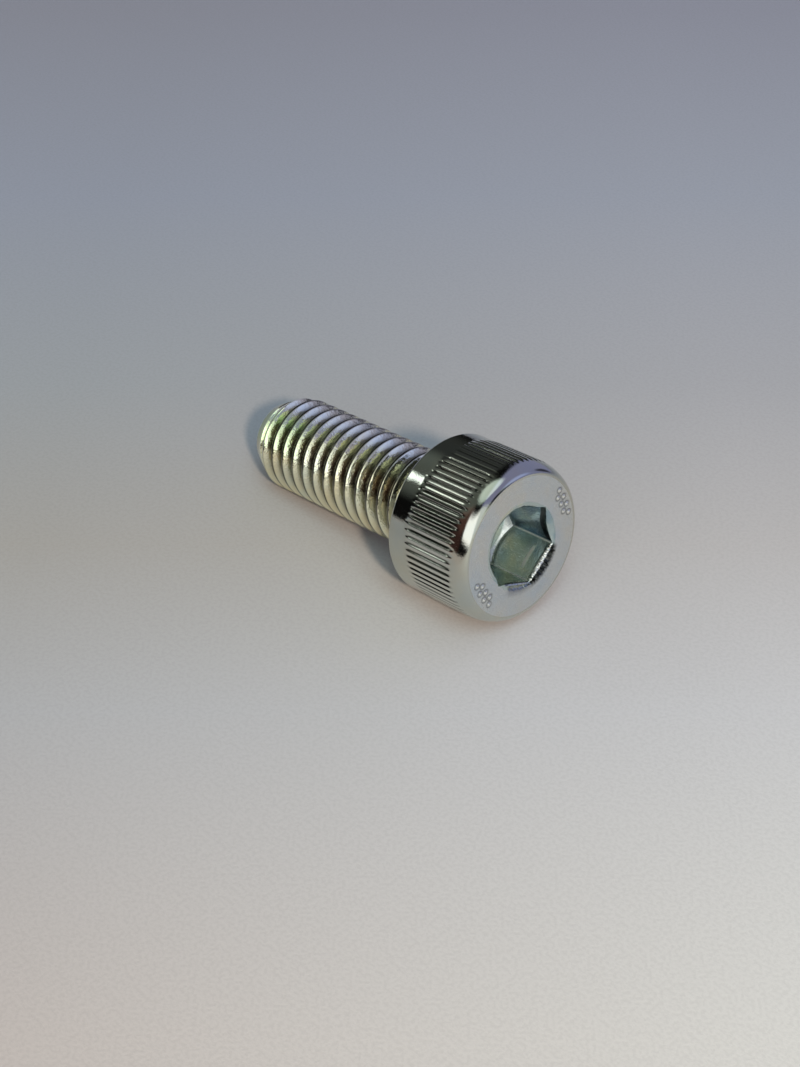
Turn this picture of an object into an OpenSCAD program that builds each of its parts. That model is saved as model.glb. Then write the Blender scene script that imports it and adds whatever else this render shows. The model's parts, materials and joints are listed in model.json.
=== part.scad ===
// Hex socket cap screw, M8 x 20 with a coarse thread, forged and rolled from one piece of steel.
// It lies on its side: the foot of the head and the first full thread crest touch the surface.
// Millimetres, +Z up. The head is towards +X. The origin is on the surface that the screw lies on,
// below the middle of its outline box.

/* [Thread] */
// Outside diameter of the thread
thread_d = 8; // [7.7:0.05:8.1]
// Length from the bearing face to the tip
shank_l = 20; // [16:1:30]
// Length of the tapered start of the thread
tip_l = 2; // [1:0.1:3]
// Diameter of the flat end of the tip
tip_d = 5.8; // [5:0.1:6.4]

/* [Head] */
// Diameter of the smooth band at the foot of the head
head_d = 13; // [12.7:0.05:13.1]
// Height of the head
head_h = 8; // [7.7:0.05:8.2]
// Height of the smooth band
band_h = 2.1; // [1.6:0.1:3]
// Bevel at the foot of the band
band_bevel = 0.3; // [0.1:0.05:0.4]
// How far the rounded top edge reaches in from the side
edge_in = 0.8; // [0.5:0.05:1]
// How far the rounded top edge reaches down from the face
edge_down = 1.4; // [0.8:0.05:1.4]
// Radius of the fillet under the head
fillet_r = 0.4; // [0.2:0.05:0.6]

/* [Knurl] */
// Number of ridges around the head
ridge_n = 76; // [60:2:84]
// Diameter over the ridges
ridge_d = 13.2; // [13.15:0.01:13.27]
// Depth of the grooves between the ridges
groove_depth = 0.24; // [0.18:0.02:0.3]
// Share of the ridge spacing that is groove
groove_share = 0.5; // [0.3:0.05:0.7]
// Length over which the ridges rise and fade at each end
ridge_run = 0.4; // [0.2:0.05:0.6]

/* [Socket] */
// Width across the flats of the hexagon
socket_af = 6.1; // [6.02:0.02:6.14]
// Depth of the socket at its corners
socket_depth = 4.1; // [3.8:0.05:4.2]
// Depth of the flat floor
socket_floor = 4.7; // [4.6:0.05:4.8]
// Diameter of the countersink at the mouth
mouth_d = 7.3; // [7.1:0.05:7.6]
// Turn of the hexagon about the axis, from one corner straight down
socket_turn = 8; // [0:1:59]

/* [Hidden] */
$fn = 96;
thread_r = thread_d / 2;
tip_r = tip_d / 2;
head_r = head_d / 2;
ridge_r = ridge_d / 2;
root_r = ridge_r - groove_depth;
socket_corner_r = socket_af / sqrt(3);
mouth_r = mouth_d / 2;
// Straight part of the thread's outside ends here, at the first full crest
crest_z = tip_l - shank_l;
// Tilt of the axis when the foot of the head and the first full crest touch the surface
rest_tilt = atan((head_r - thread_r) / (band_bevel - crest_z));
// Points, as [radius, height], of the fillet between the shank and the bearing face
fillet = [for (a = [0 : 22.5 : 90])
    [thread_r + fillet_r * (1 - cos(a)), fillet_r * (sin(a) - 1)]];
// Points of the rounded top edge, from the side to the face
top_edge = [for (a = [0 : 11.25 : 90])
    [head_r - edge_in * (1 - cos(a)), head_h - edge_down * (1 - sin(a))]];
// The knurl ends where the rounded edge begins
knurl_top = head_h - edge_down;
// Where the axis meets the bearing face
bearing_z = head_r * cos(rest_tilt) - band_bevel * sin(rest_tilt);
front_x = max([for (p = top_edge) p[0] * sin(rest_tilt) + p[1] * cos(rest_tilt)]);
back_x = -shank_l * cos(rest_tilt) - tip_r * sin(rest_tilt);
bearing_x = -(front_x + back_x) / 2;
over = 0.1;

// Outline of the forged blank, turned about its axis: shank, bearing face, band, knurl core, top edge
module blank() {
    rotate_extrude()
        polygon(concat(
            [[0, -shank_l], [tip_r, -shank_l], [thread_r, crest_z]],
            fillet,
            [
                [head_r - band_bevel, 0], [head_r, band_bevel],
                [head_r, band_h], [root_r, band_h + ridge_run],
                [root_r, knurl_top - ridge_run]
            ],
            top_edge,
            [[0, head_h]]
        ));
}

// Straight ridges around the head, which rise from the band and fade towards the top edge
module knurl() {
    step = 360 / ridge_n;
    half_groove = step * groove_share / 2;
    rim_r = ridge_r + over;
    core_r = root_r - over;
    intersection() {
        translate([0, 0, band_h])
            linear_extrude(height = knurl_top - band_h)
            polygon([for (i = [0 : ridge_n - 1]) for (p = [
                [core_r, 0], [ridge_r, half_groove], [ridge_r, step - half_groove]])
                p[0] * [cos(i * step + p[1]), sin(i * step + p[1])]]);
        rotate_extrude()
            polygon([
                [0, band_h], [head_r - over, band_h], [rim_r, band_h + ridge_run],
                [rim_r, knurl_top - ridge_run], [head_r - over, knurl_top], [0, knurl_top]
            ]);
    }
}

// Space of the hexagonal socket, with its bevelled floor and the countersink at its mouth
module socket_space() {
    translate([0, 0, head_h - socket_floor])
        intersection() {
            cylinder(h = socket_floor + over, r = socket_corner_r, $fn = 6);
            union() {
                bevel_h = socket_floor - socket_depth;
                cylinder(h = bevel_h, r1 = socket_corner_r + over - bevel_h, r2 = socket_corner_r + over);
                translate([0, 0, bevel_h])
                    cylinder(h = socket_depth + over, r = socket_corner_r + over);
            }
        }
    sink_h = mouth_r - socket_af / 2 + over;
    translate([0, 0, head_h - sink_h])
        cylinder(h = sink_h + over, r1 = mouth_r - sink_h, r2 = mouth_r + over);
}

// Lays a part that is drawn along +Z, with its bearing face at zero, in the resting position
module lay_down() {
    translate([bearing_x, 0, bearing_z])
        rotate([0, 90 - rest_tilt, 0])
        children();
}

module cap_screw() {
    color([0.74, 0.75, 0.74])
        lay_down()
        difference() {
            union() {
                blank();
                knurl();
            }
            rotate([0, 0, socket_turn])
                socket_space();
        }
}

cap_screw();
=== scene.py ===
import json
import math
import random

import bmesh
import bpy
import numpy as np
from mathutils import Matrix, Vector


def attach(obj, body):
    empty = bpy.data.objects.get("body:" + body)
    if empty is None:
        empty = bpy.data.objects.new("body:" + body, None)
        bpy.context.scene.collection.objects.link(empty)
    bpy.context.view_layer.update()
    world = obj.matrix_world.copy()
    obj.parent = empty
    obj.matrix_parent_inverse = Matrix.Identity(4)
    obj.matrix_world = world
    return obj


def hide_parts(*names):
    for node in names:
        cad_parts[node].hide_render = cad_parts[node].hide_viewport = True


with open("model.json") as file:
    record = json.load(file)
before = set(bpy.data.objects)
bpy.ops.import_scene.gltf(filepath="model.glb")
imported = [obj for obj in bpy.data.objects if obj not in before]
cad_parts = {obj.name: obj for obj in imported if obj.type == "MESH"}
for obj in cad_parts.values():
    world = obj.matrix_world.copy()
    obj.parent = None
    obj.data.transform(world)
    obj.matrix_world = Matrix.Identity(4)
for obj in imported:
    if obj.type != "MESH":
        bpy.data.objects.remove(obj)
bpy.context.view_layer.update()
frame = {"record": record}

# Hex socket cap screw, zinc plated, lying on its side on a sheet of pale paper.
# The screw is drawn about its own axis in millimetres: an angle from straight down, a radius, and a
# height over the bearing face of the head, with the head on the plus side. It is then laid in place.
MM = 0.001

# ---- sizes of the screw, in millimetres; angles in degrees from straight down ----
THREAD_R = 3.98
PITCH = 1.278
FIRST_CREST = -16.37
ROOT_DEPTH = 0.6134 * PITCH + 0.05
CREST_BLEND = 0.05
ROOT_BLEND = 0.14
SHANK_L = 20.0
TIP_R = 2.89
TIP_L = 2.14
NECK_R = 3.62
NECK_FROM = -0.95
FILLET_R = 0.45
# Middle of the greener side of the plate next to the tip
GREEN_AT = 224

HEAD_H = 7.99
BAND_R = 6.497
FOOT_BEVEL = 0.3
RIDGE_R = 6.53
KNURL_FROM = 1.7
KNURL_TO = 7.0
KNURL_RUN = 0.75
# Middle of the few ridges that are worn down
WORN_AT = 183.0
EDGE_IN = 0.85
EDGE_DOWN = 1.637
EDGE_FROM = HEAD_H - EDGE_DOWN

SOCKET_AF = 6.1
SOCKET_CORNER_FILLET = 0.14
SOCKET_DEPTH = 4.1
SOCKET_FLOOR = 4.7
SOCKET_TURN = 8.0
MOUTH_R = 3.68
MOUTH_OVAL = 0.2
# Middle of the torn side of the mouth, and of the wall with a painted shadow
TORN_AT = 38.0
SHADED_AT = 99.0

# ---- counts ----
RIDGES = 76
COLUMNS_PER_RIDGE = 9
COLUMNS = RIDGES * COLUMNS_PER_RIDGE
SHANK_COLUMNS = COLUMNS // 6

CHANCE = random.Random(8)


# ---- place of the screw ----
def lay_down():
    """Matrix from the screw's own axis, in millimetres, to the resting position."""
    seat = next(m for m in frame["record"]["mounts"] if m["name"] == "bearing_face")
    along = -Vector(seat["axis"]).normalized()
    side = Vector((0, 1, 0))
    down = side.cross(along)
    turn = Matrix((down, side, along)).transposed().to_4x4()
    return Matrix.Translation(Vector(seat["pos_m"])) @ turn @ Matrix.Scale(MM, 4)


# ---- shapes ----
def smooth(x):
    x = np.clip(x, 0.0, 1.0)
    return x * x * (3 - 2 * x)


def rise(value, start, length):
    """Nought up to start, then a smooth rise to one over the length."""
    return smooth((value - start) / length)


def fall(value, stop, length):
    """A smooth fall from one over the length before stop, then nought."""
    return smooth((stop - value) / length)


def soft_max(a, b, blend):
    return 0.5 * (a + b + np.sqrt((a - b) ** 2 + blend ** 2))


def soft_min(a, b, blend):
    return -soft_max(-a, -b, blend)


def ripple(angle, seed, terms):
    """Smooth random wave around the screw, about one high."""
    chance = random.Random(seed)
    total = 0.0
    for n in terms:
        total = total + math.sqrt(1 / len(terms)) * np.sin(
            n * angle + chance.uniform(0, 2 * math.pi))
    return total


def degrees_past(angle, middle):
    """Degrees from the middle, between -180 and 180, of an angle in radians."""
    return (np.degrees(angle) - middle + 180) % 360 - 180


def crest_distance(angle, height):
    """Distance along the axis from the middle of the nearest crest."""
    turns = (height - FIRST_CREST) / PITCH - angle / (2 * math.pi)
    return np.abs(turns - np.round(turns)) * PITCH


def thread_depth(from_crest):
    """Depth below the crest, at a distance along the axis from the middle of the nearest crest."""
    flank = (from_crest - PITCH / 12) * math.sqrt(3)
    depth = soft_max(flank, 0.0, CREST_BLEND) - 0.004
    return soft_min(depth, ROOT_DEPTH, ROOT_BLEND)


def thread_painted_shade(angle, height):
    """Painted shade in the root, a painted dark line along the crest for the shadowed floor that it
    reflects, and a darker tip.
    """
    from_crest = crest_distance(angle, height)
    root = 0.8 * rise(thread_depth(from_crest), 0.18, 0.34)
    crest_shade = fall(from_crest, 0.14, 0.07) * (0.92 + 0.15 * ripple(angle, 11, (3, 5, 8)))
    full = rise(height, -18.6, 1.5) * fall(height, NECK_FROM - 0.6, 0.8)
    tip = 0.4 * fall(height, -18.9, 0.6)
    return np.clip(np.maximum(root, crest_shade) * full + tip, 0, 1)


def tip_green(angle, height):
    """The plate is greener on one side of the turns next to the tip."""
    return fall(height, -12.5, 3.0) * fall(np.abs(degrees_past(angle, GREEN_AT)), 32, 14)


def thread_radius(angle, height):
    """Radius of the shank, from the tip's taper to the run-out under the head."""
    crest = THREAD_R + 0.010 * ripple(angle, 3, (1, 2, 3)) * rise(height, -19, 6)
    radius = crest - thread_depth(crest_distance(angle, height))
    taper = TIP_R + (height + SHANK_L) * (THREAD_R - TIP_R) / TIP_L
    radius = soft_min(radius, taper, 0.05)
    run_out = rise(height, NECK_FROM - 1.3, 1.2)
    return radius * (1 - run_out) + NECK_R * run_out


def corner_distance(angle):
    """Angle from the nearest corner of the hexagon, which has one at nought."""
    sixth = math.pi / 3
    return np.abs((angle + sixth / 2) % sixth - sixth / 2)


def hexagon_radius(angle):
    """Radius of the socket's wall, with a small fillet in each corner."""
    half_sixth = math.pi / 6
    from_corner = corner_distance(angle)
    flat = SOCKET_AF / 2
    wall = flat / np.cos(half_sixth - from_corner)
    centre = (flat - SOCKET_CORNER_FILLET) / math.cos(half_sixth)
    inside = SOCKET_CORNER_FILLET ** 2 - (centre * np.sin(from_corner)) ** 2
    arc = centre * np.cos(from_corner) + np.sqrt(np.maximum(inside, 0))
    tangent = math.atan2(SOCKET_CORNER_FILLET * 0.5,
                         centre + SOCKET_CORNER_FILLET * math.cos(half_sixth))
    return np.where(from_corner < tangent, arc, wall)


class Rings:
    """Rings of points about the axis and the strips of faces between them."""

    def __init__(self):
        self.points = []
        self.faces = []
        self.finish = []
        self.masks = {"cavity": [], "torn": [], "bright": [], "matte": [], "green": []}

    def add_points(self, angle, radius, height, **masks):
        angle, radius, height = np.broadcast_arrays(angle, radius, height)
        first = len(self.points)
        self.points += list(zip(radius * np.cos(angle), radius * np.sin(angle), height))
        for name, values in self.masks.items():
            values.extend(np.broadcast_to(masks.get(name, 0.0), angle.shape))
        return list(range(first, len(self.points)))

    def add_face(self, corners, finish):
        self.faces.append(corners)
        self.finish.append(finish)

    def strip(self, low, high, finish):
        n = len(low)
        for i in range(n):
            j = (i + 1) % n
            self.add_face((low[i], low[j], high[j], high[i]), finish)

    def grow(self, last, finish, angle, radius, height, **masks):
        """Adds a ring and joins it to the last one. Returns the new ring."""
        ring = self.add_points(angle, radius, height, **masks)
        self.strip(last, ring, finish)
        return ring

    def stitch(self, coarse, fine, finish, faces_up=False):
        """Faces between a ring and one with a whole number of times as many points."""
        n, k = len(coarse), len(fine) // len(coarse)
        for i in range(n):
            j = (i + 1) % n
            outer = [fine[(k * i + step) % len(fine)] for step in range(k, -1, -1)]
            corners = (coarse[i], coarse[j], *outer)
            self.add_face(corners[::-1] if faces_up else corners, finish)

    def close(self, ring, height, finish):
        """Faces from the ring to a point on the axis."""
        middle = self.add_points(np.zeros(1), 0.0, height)[0]
        n = len(ring)
        for i in range(n):
            self.add_face((middle, ring[i], ring[(i + 1) % n]), finish)


# The finish of each face, in the order of zinc_finishes()
THREAD, HEAD_SIDE, FACE, SOCKET = range(4)

# Distances from a crest, along the axis, of the rows of points on each side of it
THREAD_STEPS = (0.0, 0.035, 0.07, 0.1, 0.13, 0.18, 0.28, 0.42, 0.52, 0.58)


def add_thread_row(rings, angle, height):
    return rings.add_points(angle, thread_radius(angle, height), height,
                            cavity=thread_painted_shade(angle, height), green=tip_green(angle, height))


def build_thread(rings, angle):
    """Rows of points that follow the helix, cut off level at both ends. Returns the end rings."""
    along = [*THREAD_STEPS, PITCH / 2, *[PITCH - step for step in reversed(THREAD_STEPS[1:])]]
    per_turn = len(along)
    turns = math.ceil((SHANK_L + NECK_FROM) / PITCH) + 3
    start = FIRST_CREST - math.ceil((FIRST_CREST + SHANK_L) / PITCH + 1.2) * PITCH
    rows = []
    for k in range(turns * per_turn):
        height = start + (k // per_turn) * PITCH + along[k % per_turn] + PITCH * angle / (2 * math.pi)
        rows.append(add_thread_row(rings, angle, np.clip(height, -SHANK_L, NECK_FROM)))
    n = len(angle)
    for k, (row, above) in enumerate(zip(rows, rows[1:])):
        for i in range(n - 1):
            rings.add_face((row[i], row[i + 1], above[i + 1], above[i]), THREAD)
        # One column of faces joins the end of each row to the start of the row a turn on
        if k + 1 + per_turn < len(rows):
            low, high = rows[k + per_turn][0], rows[k + 1 + per_turn][0]
            rings.add_face((row[n - 1], low, high, above[n - 1]), THREAD)
    return [add_thread_row(rings, angle, np.full(n, height)) for height in (-SHANK_L, NECK_FROM)]


# Rings of the slightly hollow end of the tip: distance in from its edge, with the height over its end
TIP_END = ((0.07, 0.0), (0.17, 0.015), (1.3, 0.065), (2.2, 0.105))


def build_shank(rings):
    """Thread, tip and neck. Returns the ring where the neck meets the bearing face."""
    turn = math.radians(SOCKET_TURN)
    angle = turn + np.arange(SHANK_COLUMNS) * 2 * math.pi / SHANK_COLUMNS
    last, neck = build_thread(rings, angle)
    for inset, lift in TIP_END:
        ring = rings.add_points(angle, TIP_R - inset, lift - SHANK_L)
        rings.strip(ring, last, THREAD)
        last = ring
    rings.close(last, 0.1 - SHANK_L, THREAD)
    # The neck's fillet is darkened as painted shade under the head.
    for turned in map(math.radians, (0, 20, 40, 60, 75, 90)):
        neck = rings.grow(neck, THREAD, angle, NECK_R + FILLET_R * (1 - math.cos(turned)),
                          FILLET_R * (math.sin(turned) - 1), cavity=0.5)
    return neck


# Columns of one ridge, from the middle of a groove, as shares of the ridge spacing with the depth there
GROOVE = ((0.0, 0.17), (0.1, 0.13), (0.19, 0.03), (0.27, 0.004), (0.4, 0.0))
COLUMN_PLACES = [share for share, _ in GROOVE] + [1 - share for share, _ in reversed(GROOVE[1:])]
COLUMN_DEPTHS = [depth for _, depth in GROOVE] + [depth for _, depth in reversed(GROOVE[1:])]


def head_angles():
    """Angle of each column of the head, closer together in the grooves."""
    spacing = 2 * math.pi / RIDGES
    return math.radians(SOCKET_TURN) + np.array(
        [(ridge + share) * spacing for ridge in range(RIDGES) for share in COLUMN_PLACES])


def ridge_depths():
    """Depth of each column below the ridge tops: grooves, and ridges that lean and differ a little."""
    lean = [CHANCE.uniform(-0.035, 0.035) for _ in range(RIDGES)]
    low = [CHANCE.uniform(0.0, 0.012) for _ in range(RIDGES)]
    pressed = [CHANCE.uniform(0.8, 1.0) for _ in range(RIDGES)]
    worn = [fall(abs(SOCKET_TURN + ridge * 360 / RIDGES - WORN_AT), 15, 10) for ridge in range(RIDGES)]
    depth = np.zeros(COLUMNS)
    for ridge in range(RIDGES):
        for k in range(COLUMNS_PER_RIDGE):
            groove = ridge if k < COLUMNS_PER_RIDGE / 2 else (ridge + 1) % RIDGES
            value = COLUMN_DEPTHS[k] * pressed[groove] * (1 - 0.8 * worn[groove])
            if k:
                value += low[ridge] + lean[ridge] * (COLUMN_PLACES[k] - 0.5)
            depth[ridge * COLUMNS_PER_RIDGE + k] = max(value, 0.0)
    return depth


def knurl_ends():
    """How far each column's groove begins and ends from its place, with the scatter of a rolled knurl."""
    start = [CHANCE.uniform(-0.05, 0.07) for _ in range(RIDGES)]
    stop = [CHANCE.uniform(-0.07, 0.05) for _ in range(RIDGES)]
    groove = [((i + COLUMNS_PER_RIDGE // 2) // COLUMNS_PER_RIDGE) % RIDGES for i in range(COLUMNS)]
    return np.array([start[g] for g in groove]), np.array([stop[g] for g in groove])


# Rings of the bearing face and the smooth band above it: radius and height
FOOT = ((5.8, 0.0), (6.2, 0.0), (BAND_R - FOOT_BEVEL, 0.0), (BAND_R - 0.1, 0.1), (BAND_R, FOOT_BEVEL),
        (BAND_R, 0.32), (BAND_R - 0.018, 0.9), (BAND_R - 0.036, 1.5))


def build_foot(rings, neck, angle):
    """Bearing face and smooth band."""
    last = rings.add_points(angle, 4.9, 0.0)
    rings.stitch(neck, last, HEAD_SIDE)
    for radius, height in FOOT:
        last = rings.grow(last, HEAD_SIDE, angle, radius, height)
    return last


def blank_radius(height):
    """Radius of the side of the head without its knurl."""
    rounded = np.clip((height - EDGE_FROM) / EDGE_DOWN, 0, 1)
    taper = 0.04 * rise(height, 0.0, 1.5) * fall(height, 2.6, 0.9)
    return BAND_R - taper - EDGE_IN * (1 - np.sqrt(1 - rounded * rounded))


def build_knurl(rings, last, angle):
    """Grooves around the head. Returns the last ring, and where each column's groove ends."""
    depth = ridge_depths()
    start, stop = knurl_ends()
    start = KNURL_FROM + start + 0.06 * ripple(angle, 5, (1, 2, 3))
    stop = KNURL_TO + stop
    rows = [start + KNURL_RUN * share for share in (-0.1, 0.1, 0.3, 0.5, 0.7, 0.9)]
    rows += [np.full_like(angle, height) for height in (3.6, 4.3, 5.0)]
    rows += [stop - KNURL_RUN * share for share in (1.3, 0.9, 0.7, 0.5, 0.3, 0.1, -0.02)]
    groove = rise(depth, 0.004, 0.03)
    for height in rows:
        cut = rise(height, start, KNURL_RUN) * fall(height, stop, KNURL_RUN)
        radius = blank_radius(height) * (1 - cut) + (RIDGE_R - depth) * cut
        # Painted shade in the grooves; the ridge tops are rougher and painted lighter as a sheen.
        last = rings.grow(last, HEAD_SIDE, angle, radius, height,
                          cavity=groove * cut, matte=0.3 * cut * (1 - groove))
    return last, stop


def build_top_edge(rings, last, angle, knurl_stop):
    """Rounded edge from the end of the knurl to the face. Returns the ring at the face."""
    first = np.arcsin((knurl_stop - EDGE_FROM) / EDGE_DOWN)
    for share in (0.07, 0.16, 0.26, 0.36, 0.46, 0.56, 0.66, 0.75, 0.83, 0.9, 0.95, 1.0):
        turned = first + (math.pi / 2 - first) * share
        last = rings.grow(last, HEAD_SIDE, angle, BAND_R - EDGE_IN * (1 - np.cos(turned)),
                          EDGE_FROM + EDGE_DOWN * np.sin(turned))
    return last


# Raised pips on the face: middle of each row, its radius, and the pips' degrees from the middle
PIP_ROWS = ((110, 5.2, (-13.5, -4.5, 4.5, 13.5)), (110, 4.72, (-9, 0, 9)),
            (296, 5.05, (-13.5, -4.5, 4.5, 13.5)), (296, 4.6, (-9, 0, 9)))
PIP_R = 0.24
PIP_H = 0.11


def pip_height(angle, radius):
    """Height of the pips over the face, and how near a point is to the foot of one."""
    x, y = radius * np.cos(angle), radius * np.sin(angle)
    height = np.zeros_like(angle)
    foot = np.zeros_like(angle)
    for middle, from_axis, steps in PIP_ROWS:
        for at in (math.radians(middle + step) for step in steps):
            away = np.hypot(x - from_axis * math.cos(at), y - from_axis * math.sin(at)) / PIP_R
            height = np.maximum(height, PIP_H * smooth(1 - away))
            foot = np.maximum(foot, smooth(1 - np.abs(away - 1.0) / 0.4))
    return height, foot


def torn_edge(angle):
    """How torn the mouth is: a rough burr stands over one wall, and less over the next."""
    away = degrees_past(angle, TORN_AT)
    return np.maximum(fall(np.abs(away), 31, 6), 0.45 * fall(np.abs(away + 45), 30, 12))


def mouth_radius(angle):
    """Where the rounded mouth of the socket leaves the face. It isn't quite round."""
    oval = MOUTH_OVAL * np.cos(2 * (angle - math.radians(TORN_AT)))
    wave = 0.02 * ripple(angle, 11, (3, 5, 7)) + 0.012 * ripple(angle, 12, (17, 23, 31))
    ragged = 0.09 * torn_edge(angle) * ripple(angle, 13, (37, 59, 83, 101))
    wall = hexagon_radius(angle - math.radians(SOCKET_TURN))
    return np.maximum(MOUTH_R + oval + wave + ragged, wall + 0.05)


def build_face(rings, last, angle, mouth):
    """Flat face with its pips. Returns the ring at the mouth of the socket."""
    for radius in (5.5, *np.arange(5.46, 4.3, -0.08), 4.2):
        pips, foot = pip_height(angle, radius)
        # The pips are smoother and painted lighter as a glint, with a ring of painted shade round their
        # feet.
        last = rings.grow(last, FACE, angle, radius, HEAD_H + pips,
                          bright=pips / PIP_H, cavity=0.8 * foot)
    return rings.grow(last, FACE, angle, mouth, HEAD_H, torn=torn_edge(angle))


# Section of the torn mouth from the face to the wall: share of the way in, with the depth below the face
BURR = ((0.0, 0.0), (0.1, 0.12), (0.22, 0.28), (0.36, 0.32), (0.5, 0.26), (0.6, 0.12), (0.68, 0.04),
        (0.8, 0.03), (0.92, 0.12), (1.0, 0.34))


def build_mouth(rings, last, angle, mouth, wall):
    """Rounded mouth with its burr. Returns the last ring and its depth without the roughness."""
    round_r = mouth - SOCKET_AF / 2 + 0.03
    end = np.arcsin(np.clip((mouth - wall) / round_r, 0.02, 1))
    torn = torn_edge(angle)
    steps = len(BURR) - 1
    for k, (inward, burr_depth) in enumerate(BURR[1:], 1):
        share = k / steps
        turned = end * share
        radius = (1 - torn) * (mouth - round_r * np.sin(turned)) + torn * (mouth - inward * (mouth - wall))
        depth = (1 - torn) * round_r * (1 - np.cos(turned)) + torn * burr_depth
        rough = 0.05 * torn * math.sin(math.pi * share) * ripple(angle, 20 + k, (41, 61, 83, 107, 131))
        # The torn burr is darker; its inner lip is smoother and painted lighter as a highlight.
        rubbed = share > 0.75
        last = rings.grow(last, SOCKET, angle, radius, HEAD_H - depth + rough,
                          torn=torn * (not rubbed), bright=torn * 0.8 * rubbed)
    return last, depth


# Rings of the wall: share of the way down, painted shadow on one wall, painted shade on all, painted
# highlight streak on the torn wall, painted highlight streak on all
WALL = ((0.02, 1, 0, 0, 0), (0.13, 1, 0, 0, 0), (0.16, 0, 0, 0, 0), (0.2, 0, 0, 0.2, 0),
        (0.225, 0, 0, 1, 0), (0.265, 0, 0, 1, 0), (0.3, 0, 0, 0.35, 0), (0.5, 0, 0, 0.12, 0),
        (0.72, 0, 0, 0, 0), (0.9, 0, 0.35, 0, 0), (1.0, 0, 0.35, 0, 0.4))


def build_wall(rings, last, angle, wall, top, foot):
    """Hexagonal wall, from the mouth to the bevel of the floor, with lighter, rougher lines in its corners
    as painted highlights.
    """
    line = math.radians(2.2)
    corner_line = fall(corner_distance(angle - math.radians(SOCKET_TURN)), line, line)
    # Painted shadow near the top of one wall, painted shade deep down on all, and painted highlight
    # streaks and corner lines, which are rougher too.
    shaded = fall(np.abs(degrees_past(angle, SHADED_AT)), 30, 5)
    streaked = fall(np.abs(degrees_past(angle, TORN_AT)), 26, 16)
    for share, one_dark, all_dark, one_streak, all_streak in WALL:
        shade = one_dark * shaded + all_dark
        matte = np.maximum(one_streak * streaked + all_streak, corner_line)
        last = rings.grow(last, SOCKET, angle, wall, top + (foot - top) * share,
                          cavity=shade, matte=matte * (1 - shade))
    return last


def build_floor(rings, last, angle, wall, foot):
    """Bevel and middle of the socket's floor."""
    low = HEAD_H - SOCKET_FLOOR
    # The bevel and middle of the floor are rougher and painted lighter as a sheen.
    for share in (0.12, 0.5, 0.88):
        last = rings.grow(last, SOCKET, angle, wall + (2.95 - wall) * share, foot + (low - foot) * share,
                          matte=0.5)
    for radius, drop in ((2.85, 0.0), (2.2, 0.02)):
        last = rings.grow(last, SOCKET, angle, radius, low - drop, matte=0.4)
    coarse = angle[::4]
    ring = rings.add_points(coarse, 1.6, low - 0.04)
    rings.stitch(ring, last, SOCKET, faces_up=True)
    inner = rings.grow(ring, SOCKET, coarse, 0.7, low - 0.06)
    rings.close(inner, low - 0.07, SOCKET)


def build_socket(rings, last, angle, mouth):
    """Mouth, hexagonal wall and floor."""
    wall = hexagon_radius(angle - math.radians(SOCKET_TURN))
    last, depth = build_mouth(rings, last, angle, mouth, wall)
    foot = HEAD_H - SOCKET_DEPTH - (SOCKET_AF / math.sqrt(3) - wall)
    last = build_wall(rings, last, angle, wall, HEAD_H - depth, foot)
    build_floor(rings, last, angle, wall, foot)


# Edges sharper than this stay sharp
SHARP = math.radians(50)


def mesh_from_rings(rings, name, finishes):
    mesh = bpy.data.meshes.new(name)
    mesh.from_pydata([tuple(map(float, p)) for p in rings.points], [], rings.faces)
    mesh.polygons.foreach_set("material_index", rings.finish)
    for mask, values in rings.masks.items():
        layer = mesh.attributes.new(mask, "FLOAT", "POINT")
        layer.data.foreach_set("value", np.array(values, np.float32))
    mesh.transform(lay_down())
    for finish in finishes:
        mesh.materials.append(finish)
    bm = bmesh.new()
    bm.from_mesh(mesh)
    bmesh.ops.remove_doubles(bm, verts=bm.verts, dist=0.002 * MM)
    bmesh.ops.recalc_face_normals(bm, faces=bm.faces)
    bmesh.ops.triangulate(bm, faces=[f for f in bm.faces if len(f.verts) > 4])
    for face in bm.faces:
        face.smooth = True
    for edge in bm.edges:
        edge.smooth = edge.calc_face_angle(0.0) < SHARP
    bm.to_mesh(mesh)
    bm.free()
    piece = bpy.data.objects.new(name, mesh)
    bpy.context.scene.collection.objects.link(piece)
    return piece


def make_screw(finishes):
    rings = Rings()
    neck = build_shank(rings)
    angle = head_angles()
    mouth = mouth_radius(angle)
    last = build_foot(rings, neck, angle)
    last, knurl_stop = build_knurl(rings, last, angle)
    last = build_top_edge(rings, last, angle, knurl_stop)
    last = build_face(rings, last, angle, mouth)
    build_socket(rings, last, angle, mouth)
    return mesh_from_rings(rings, "zinc_cap_screw", finishes)


# ---- shader building blocks ----
class Nodes:
    """Short way to add and join shader nodes."""

    def __init__(self, tree):
        self.tree = tree

    def add(self, kind, links=None, **settings):
        node = self.tree.nodes.new(kind)
        for name, value in settings.items():
            setattr(node, name, value)
        for socket, value in (links or {}).items():
            self.set(node.inputs[socket], value)
        return node

    def set(self, socket, value):
        if isinstance(value, bpy.types.NodeSocket):
            self.tree.links.new(value, socket)
        else:
            socket.default_value = value

    def math(self, operation, a, b=0.0, clamp=False):
        node = self.add("ShaderNodeMath", {0: a, 1: b}, operation=operation, use_clamp=clamp)
        return node.outputs[0]

    def ramp(self, value, low, high, to_low=0.0, to_high=1.0, soft=True):
        kind = "SMOOTHSTEP" if soft else "LINEAR"
        node = self.add("ShaderNodeMapRange", {
            "Value": value, "From Min": low, "From Max": high,
            "To Min": to_low, "To Max": to_high}, interpolation_type=kind)
        return node.outputs["Result"]

    def mix(self, factor, a, b):
        node = self.add("ShaderNodeMix", {0: factor, 6: a, 7: b}, data_type="RGBA")
        return node.outputs[2]


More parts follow.
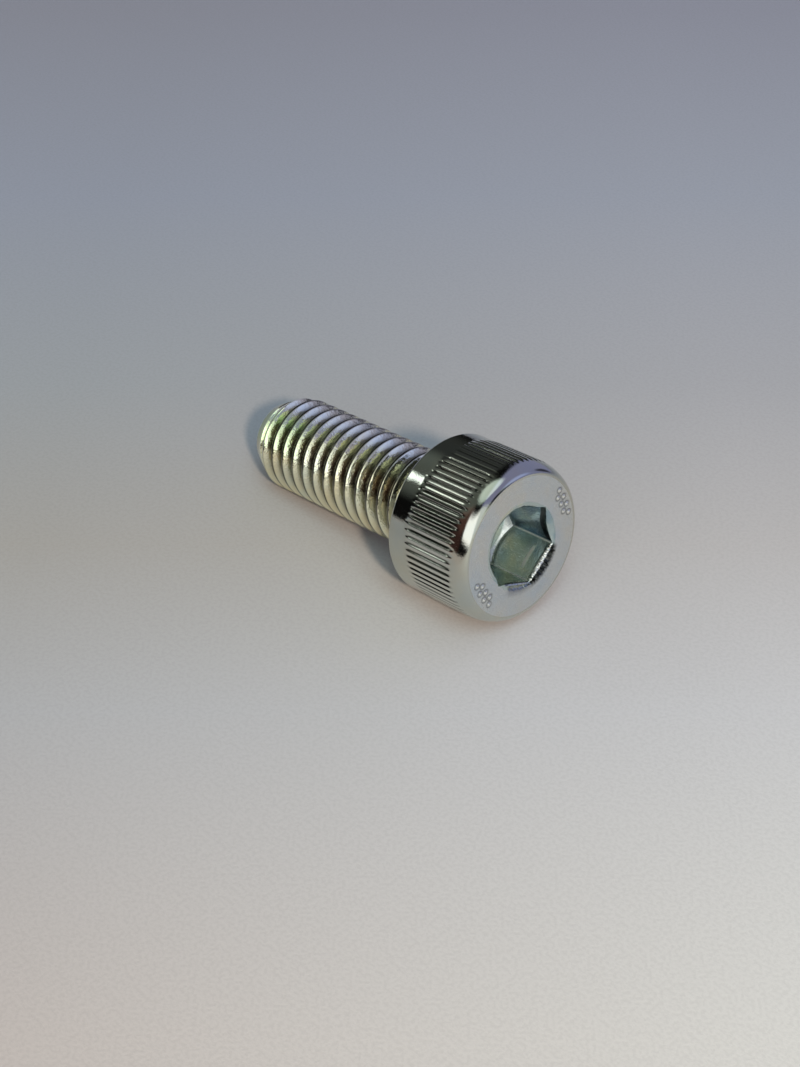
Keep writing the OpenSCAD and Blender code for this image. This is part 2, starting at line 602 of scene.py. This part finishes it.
def new_group(name, inputs, outputs):
    """A shader node group with its sockets. Each input is (name, kind, default)."""
    tree = bpy.data.node_groups.new(name, "ShaderNodeTree")
    for socket, kind, default in inputs:
        made = tree.interface.new_socket(socket, in_out="INPUT", socket_type=kind)
        made.default_value = default
    for socket, kind in outputs:
        tree.interface.new_socket(socket, in_out="OUTPUT", socket_type=kind)
    nodes = Nodes(tree)
    return nodes, nodes.add("NodeGroupInput"), nodes.add("NodeGroupOutput")


FLOAT, COLOUR = "NodeSocketFloat", "NodeSocketColor"


def plate_grain_group():
    """Fine grain of the zinc: soft crystals with a little orange peel. Size is in millimetres."""
    nodes, given, out = new_group("Plate grain", (
        ("Size", FLOAT, 0.1), ("Peel", FLOAT, 0.5)), (("Height", FLOAT), ("Sparkle", FLOAT)))
    place = nodes.add("ShaderNodeTexCoord").outputs["Object"]
    scale = nodes.math("DIVIDE", 1 / MM, given.outputs["Size"])
    crystals = nodes.add("ShaderNodeTexNoise", {
        "Vector": place, "Scale": scale, "Detail": 2.0, "Roughness": 0.6})
    peel = nodes.add("ShaderNodeTexNoise", {
        "Vector": place, "Scale": nodes.math("MULTIPLY", scale, 0.17), "Detail": 1.0})
    height = nodes.math("ADD", crystals.outputs[0],
                        nodes.math("MULTIPLY", peel.outputs[0], given.outputs["Peel"]))
    nodes.set(out.inputs["Height"], height)
    nodes.set(out.inputs["Sparkle"], nodes.ramp(crystals.outputs[0], 0.4, 0.7))
    return nodes.tree


def scratches_group():
    """Short fine scratches in a few directions."""
    nodes, given, out = new_group("Scratches", (
        ("Size", FLOAT, 1.0), ("Amount", FLOAT, 0.5)), (("Mask", FLOAT),))
    place = nodes.add("ShaderNodeTexCoord").outputs["Object"]
    total = None
    for turn in ((0.3, 0.9, 0.2), (1.2, 0.1, 0.8)):
        turned = nodes.add("ShaderNodeMapping", {
            "Vector": place, "Rotation": turn, "Scale": (900, 12000, 12000)})
        cells = nodes.add("ShaderNodeTexNoise", {
            "Vector": turned.outputs[0], "Scale": nodes.math("DIVIDE", 1.0, given.outputs["Size"]),
            "Detail": 1.0})
        line = nodes.ramp(cells.outputs[0], 0.66, 0.74)
        total = line if total is None else nodes.math("MAXIMUM", total, line)
    nodes.set(out.inputs["Mask"], nodes.math("MULTIPLY", total, given.outputs["Amount"]))
    return nodes.tree


def passivation_group():
    """Slow change of colour over the plate between a cool, a plain, a warm and a green tint."""
    nodes, given, out = new_group("Passivation tint", (
        ("Plain", COLOUR, (0.7, 0.7, 0.7, 1)), ("Cool", COLOUR, (0.6, 0.65, 0.75, 1)),
        ("Warm", COLOUR, (0.75, 0.7, 0.55, 1)), ("Green", COLOUR, (0.87, 1.0, 0.62, 1)),
        ("Amount", FLOAT, 0.5)), (("Color", COLOUR),))
    place = nodes.add("ShaderNodeTexCoord").outputs["Object"]
    cloud = nodes.add("ShaderNodeTexNoise", {"Vector": place, "Scale": 420.0, "Detail": 3.0})
    amount = given.outputs["Amount"]
    cool = nodes.math("MULTIPLY", nodes.ramp(cloud.outputs[0], 0.5, 0.3), amount)
    warm = nodes.math("MULTIPLY", nodes.ramp(cloud.outputs[0], 0.5, 0.7), amount)
    colour = nodes.mix(cool, given.outputs["Plain"], given.outputs["Cool"])
    colour = nodes.mix(warm, colour, given.outputs["Warm"])
    green = nodes.add("ShaderNodeAttribute", attribute_name="green").outputs["Fac"]
    nodes.set(out.inputs["Color"], nodes.mix(green, colour, given.outputs["Green"]))
    return nodes.tree


def shade_and_highlight_group():
    """Painted shade in the grooves and hollows, a darker colour on the torn edge, and a painted highlight
    colour where the metal is polished or rougher.
    """
    nodes, given, out = new_group("Painted shade and highlights", (
        ("Color", COLOUR, (0.7, 0.7, 0.7, 1)), ("Painted shade colour", COLOUR, (0.06, 0.06, 0.055, 1)),
        ("Bright", COLOUR, (0.93, 0.92, 0.84, 1)), ("Amount", FLOAT, 0.5)),
        (("Color", COLOUR), ("Mask", FLOAT), ("Rubbed", FLOAT), ("Matte", FLOAT)))
    cavity = nodes.add("ShaderNodeAttribute", attribute_name="cavity").outputs["Fac"]
    torn = nodes.add("ShaderNodeAttribute", attribute_name="torn").outputs["Fac"]
    bright = nodes.add("ShaderNodeAttribute", attribute_name="bright").outputs["Fac"]
    mask = nodes.math("MULTIPLY", cavity, given.outputs["Amount"])
    mask = nodes.math("MAXIMUM", mask, nodes.math("MULTIPLY", torn, 0.95), clamp=True)
    colour = nodes.mix(mask, given.outputs["Color"], given.outputs["Painted shade colour"])
    matte = nodes.add("ShaderNodeAttribute", attribute_name="matte").outputs["Fac"]
    either = nodes.math("MAXIMUM", bright, matte)
    nodes.set(out.inputs["Color"], nodes.mix(either, colour, given.outputs["Bright"]))
    nodes.set(out.inputs["Mask"], mask)
    nodes.set(out.inputs["Rubbed"], bright)
    nodes.set(out.inputs["Matte"], matte)
    return nodes.tree


def use_group(nodes, tree, links):
    node = nodes.add("ShaderNodeGroup", node_tree=tree)
    for socket, value in links.items():
        nodes.set(node.inputs[socket], value)
    return node


def zinc_finish(name, groups, plain, cool, warm, tint, roughness, grain_size, grain_depth,
                scratch=0.3, painted_shade=0.5, spread=(0.6, 1.4)):
    """Bright zinc plate over steel. Grain size and depth are in millimetres."""
    material = bpy.data.materials.new(name)
    material.use_nodes = True
    material.node_tree.nodes.clear()
    nodes = Nodes(material.node_tree)
    grain = use_group(nodes, groups["grain"], {"Size": grain_size, "Peel": 0.5})
    tinted = use_group(nodes, groups["tint"], {
        "Plain": (*plain, 1), "Cool": (*cool, 1), "Warm": (*warm, 1), "Amount": tint})
    shade_and_highlights = use_group(nodes, groups["painted_shade"], {"Color": tinted.outputs[0], "Amount": painted_shade})
    marks = use_group(nodes, groups["scratches"], {"Amount": scratch})
    smoothest, roughest = (roughness * part for part in spread)
    rough = nodes.math("ADD", nodes.ramp(grain.outputs["Sparkle"], 0, 1, roughest, smoothest),
                       nodes.math("MULTIPLY", shade_and_highlights.outputs["Mask"], 0.1))
    rough = nodes.math("ADD", rough, nodes.math("MULTIPLY", marks.outputs[0], 0.12), clamp=True)
    rough = nodes.math("MULTIPLY", rough, nodes.ramp(shade_and_highlights.outputs["Rubbed"], 0, 1, 1, 0.5))
    rough = nodes.math("ADD", rough, nodes.ramp(shade_and_highlights.outputs["Matte"], 0, 1, 0, 0.4), clamp=True)
    height = nodes.math("SUBTRACT", grain.outputs["Height"],
                        nodes.math("MULTIPLY", marks.outputs[0], 0.6))
    bump = nodes.add("ShaderNodeBump", {
        "Strength": 1.0, "Distance": grain_depth * MM, "Height": height})
    shader = nodes.add("ShaderNodeBsdfPrincipled", {
        "Base Color": shade_and_highlights.outputs["Color"], "Metallic": 1.0, "Roughness": rough,
        "Normal": bump.outputs[0]})
    end = nodes.add("ShaderNodeOutputMaterial")
    nodes.set(end.inputs["Surface"], shader.outputs[0])
    return material


def zinc_finishes():
    """The four finishes, in the order of THREAD, HEAD_SIDE, FACE and SOCKET."""
    groups = {"grain": plate_grain_group(), "tint": passivation_group(),
              "painted_shade": shade_and_highlight_group(), "scratches": scratches_group()}
    # The base colours differ partly as painted light and shade: the thread's plate is lighter and the head
    # side's darker than the face's.
    return [
        zinc_finish("zinc_thread", groups,
                    plain=(0.96, 0.93, 0.68), cool=(0.84, 0.91, 0.76), warm=(0.98, 0.87, 0.56),
                    tint=0.7, roughness=0.06, grain_size=0.26, grain_depth=0.024,
                    scratch=0.1, painted_shade=1.0),
        zinc_finish("zinc_head_side", groups,
                    plain=(0.555, 0.57, 0.505), cool=(0.51, 0.55, 0.52), warm=(0.59, 0.56, 0.46),
                    tint=0.5, roughness=0.09, grain_size=0.12, grain_depth=0.003,
                    painted_shade=0.55, spread=(0.6, 1.2)),
        zinc_finish("zinc_face", groups,
                    plain=(0.65, 0.67, 0.65), cool=(0.60, 0.65, 0.67), warm=(0.68, 0.67, 0.61),
                    tint=0.9, roughness=0.42, grain_size=0.09, grain_depth=0.009,
                    painted_shade=0.8),
        zinc_finish("zinc_socket", groups,
                    plain=(0.54, 0.63, 0.60), cool=(0.36, 0.48, 0.52), warm=(0.70, 0.70, 0.54),
                    tint=1.0, roughness=0.09, grain_size=0.2, grain_depth=0.011,
                    scratch=0.9, painted_shade=0.95),
    ]


# ---- paper ----
# Painted light on the sheet: its colour on the left and right, by distance towards the camera in
# millimetres, lighter towards the camera and on the right
PAPER_LEFT = (
    (-110, (0.211, 0.210, 0.243)), (-60, (0.244, 0.255, 0.298)), (-24, (0.281, 0.287, 0.295)),
    (0, (0.327, 0.304, 0.278)), (20, (0.383, 0.369, 0.366)), (50, (0.468, 0.404, 0.368)))
PAPER_RIGHT = (
    (-110, (0.225, 0.224, 0.266)), (-60, (0.275, 0.283, 0.326)), (-24, (0.338, 0.327, 0.340)),
    (0, (0.430, 0.400, 0.390)), (20, (0.517, 0.495, 0.491)), (50, (0.639, 0.603, 0.557)))
# Directions along the sheet, towards the camera and to its right
TOWARDS = (0.7265, -0.687, 0)
ACROSS = (0.687, 0.7265, 0)


def paper_side(nodes, toward_mm, stops):
    """Colour of one side of the sheet, which changes evenly between the stops."""
    colour = (*stops[0][1], 1)
    for (near, _), (far, shade) in zip(stops, stops[1:]):
        colour = nodes.mix(nodes.ramp(toward_mm, near, far, soft=False), colour, (*shade, 1))
    return colour


def paper():
    """Pale sheet under the screw, with painted light: cooler and darker far off, lighter towards the
    camera.
    """
    material = bpy.data.materials.new("pale_paper")
    material.use_nodes = True
    material.node_tree.nodes.clear()
    nodes = Nodes(material.node_tree)
    place = nodes.add("ShaderNodeTexCoord").outputs["Object"]
    toward_mm, across_mm = (
        nodes.math("DIVIDE", nodes.add("ShaderNodeVectorMath", {0: place, 1: way},
                                       operation="DOT_PRODUCT").outputs["Value"], MM)
        for way in (TOWARDS, ACROSS))
    colour = nodes.mix(nodes.ramp(across_mm, -30, 30, soft=False),
                       paper_side(nodes, toward_mm, PAPER_LEFT),
                       paper_side(nodes, toward_mm, PAPER_RIGHT))
    fibre = nodes.add("ShaderNodeTexNoise", {"Vector": place, "Scale": 3500.0, "Detail": 3.0})
    colour = nodes.mix(nodes.ramp(fibre.outputs[0], 0.35, 0.6, 0.07, 0.0), colour, (0.1, 0.09, 0.08, 1))
    bump = nodes.add("ShaderNodeBump", {
        "Strength": 0.6, "Distance": 0.03 * MM, "Height": fibre.outputs[0]})
    shader = nodes.add("ShaderNodeBsdfPrincipled", {
        "Base Color": colour, "Roughness": 0.8, "Specular IOR Level": 0.2,
        "Normal": bump.outputs[0]})
    end = nodes.add("ShaderNodeOutputMaterial")
    nodes.set(end.inputs["Surface"], shader.outputs[0])
    return material


# Half the side of the sheet, in metres
SHEET_HALF = 1.5


def make_floor():
    half = SHEET_HALF
    mesh = bpy.data.meshes.new("paper_floor")
    mesh.from_pydata([(-half, -half, 0), (half, -half, 0), (half, half, 0), (-half, half, 0)],
                     [], [(0, 1, 2, 3)])
    mesh.materials.append(paper())
    floor = bpy.data.objects.new("paper_floor", mesh)
    bpy.context.scene.collection.objects.link(floor)


# ---- camera, in millimetres ----
CAMERA_AT = (90.95, -85.90, 97.40)
LOOKS_AT = (-0.87, 1.11, 0.0)
LENS = 65.49


def make_camera():
    data = bpy.data.cameras.new("camera")
    data.lens = LENS
    data.clip_start = 0.005
    camera = bpy.data.objects.new("camera", data)
    at, to = Vector(CAMERA_AT) * MM, Vector(LOOKS_AT) * MM
    camera.location = at
    camera.rotation_euler = (to - at).to_track_quat("-Z", "Y").to_euler()
    bpy.context.scene.collection.objects.link(camera)
    bpy.context.scene.camera = camera


# ---- light ----
def toward(azimuth, elevation):
    """Direction at an azimuth from +X and an elevation, in degrees."""
    turn, lift = math.radians(azimuth), math.radians(elevation)
    return Vector((math.cos(lift) * math.cos(turn), math.cos(lift) * math.sin(turn), math.sin(lift)))


def edge_through(first, second):
    """Plane through two directions, as (azimuth, elevation), that keeps what lies on its left."""
    return toward(*first).cross(toward(*second)).normalized()


def around(azimuth, elevation, half_width, softness):
    """Edge of a round card, with its half width in degrees."""
    return toward(azimuth, elevation), math.cos(math.radians(half_width)), softness


def soft_card(nodes, ray, edges, colour, strength):
    """A soft-edged card of light far away, or a dark place where its strength is under nought.

    Each edge is a plane, how far from the middle of the room it lies as a share, and its softness.
    """
    mask = strength
    for plane, offset, softness in edges:
        side = nodes.add("ShaderNodeVectorMath", {0: ray, 1: tuple(plane)},
                         operation="DOT_PRODUCT").outputs["Value"]
        mask = nodes.math("MULTIPLY", mask, nodes.ramp(side, offset - softness, offset + softness))
    return nodes.add("ShaderNodeVectorMath", {0: colour, "Scale": mask},
                     operation="SCALE").outputs[0]


UP = Vector((0, 0, 1))
SKY = (0.58, 0.60, 1.0)


def light_cards():
    """The cards around the screw, each with its edges, its colour and its strength."""
    window_left = (edge_through((-101, 60), (-88, 30)), 0, 0.06)
    window_right = edge_through((-40, 60), (11, 15))
    window_foot = (-edge_through((-8, -3), (-83, 20)), 0, 0.08)
    window_middle = edge_through((-48, 60), (-18, 15))
    return [
        # window, brighter in its left part
        ([window_left, window_foot, (-window_middle, 0, 0.1),
          (-UP, -math.sin(math.radians(50)), 0.1)], (0.98, 0.99, 1.0), 1.6),
        ([(window_middle, 0, 0.1), window_foot, (-window_right, 0, 0.07),
          (-UP, -math.sin(math.radians(56)), 0.05)], (0.94, 1.0, 1.0), 0.85),
        # sky to the right of the window, with a bright, a greenish and two dark places
        ([(window_right, 0, 0.07), (toward(38, 0), 0.1, 0.07), (UP, -0.1, 0.1)], SKY, 0.45),
        ([around(42, 28, 14, 0.025)], (0.38, 0.52, 1.0), 0.45),
        ([around(28, 25, 7, 0.008)], (0.8, 1.0, 0.68), 0.17),
        ([around(76, 10, 10, 0.01)], SKY, -0.38),
        ([around(19, 17, 13, 0.02)], SKY, -0.43),
        # ceiling
        ([(UP, math.sin(math.radians(69)), 0.03)], (0.85, 1.0, 0.93), 0.8),
        # lamp on the far side
        ([around(-158, 37, 4.6, 0.0008)], (0.92, 1.0, 0.95), 2.5),
        # warm places beside the window
        ([around(-107, 12, 17, 0.03)], (1.0, 0.45, 0.38), 0.04),
        ([around(-104, 42, 17, 0.03)], (1.0, 0.48, 0.38), 0.08),
        # grey-green wall
        ([around(-160, 52, 30, 0.08)], (0.9, 1.0, 0.88), 0.11),
        ([around(160, 20, 28, 0.06)], (0.9, 1.0, 1.0), 0.035),
    ]


def make_light():
    """A room for the metal to reflect: window, sky, ceiling, lamp and walls, all as soft cards."""
    world = bpy.data.worlds.new("studio")
    bpy.context.scene.world = world
    world.use_nodes = True
    world.node_tree.nodes.clear()
    nodes = Nodes(world.node_tree)
    ray = nodes.add("ShaderNodeTexCoord").outputs["Generated"]
    total = None
    for edges, colour, strength in light_cards():
        light = soft_card(nodes, ray, edges, colour, strength)
        total = light if total is None else nodes.add(
            "ShaderNodeVectorMath", {0: total, 1: light}, operation="ADD").outputs[0]
    glow = nodes.add("ShaderNodeVectorMath", {0: total, 1: (0.005, 0.005, 0.005)},
                     operation="ADD").outputs[0]
    background = nodes.add("ShaderNodeBackground", {"Color": glow, "Strength": 1.0})
    end = nodes.add("ShaderNodeOutputWorld")
    nodes.set(end.inputs["Surface"], background.outputs[0])


# Distant lights for the sheet and the shadows, which the metal doesn't reflect: name, azimuth,
# elevation and width in degrees, strength, colour
DISTANT = (
    ("low_sun", -30, 33, 4, 2.7, (1.0, 0.83, 0.66)),
    ("high_window", -38, 54, 30, 1.45, (0.59, 0.88, 1.0)),
)


def make_distant_lights():
    """A low warm light that gives the shadows their edge, and a broad cool one from high in front."""
    for name, azimuth, elevation, width, strength, colour in DISTANT:
        data = bpy.data.lights.new(name, "SUN")
        data.energy = strength
        data.angle = math.radians(width)
        data.color = colour
        light = bpy.data.objects.new(name, data)
        light.rotation_euler = toward(azimuth, elevation).to_track_quat("Z", "Y").to_euler()
        light.visible_glossy = False
        bpy.context.scene.collection.objects.link(light)


def set_view():
    bpy.context.scene.view_settings.view_transform = "Standard"


set_view()
make_camera()
make_floor()
make_light()
make_distant_lights()
screw = make_screw(zinc_finishes())
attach(screw, "root")
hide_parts("cap_screw")
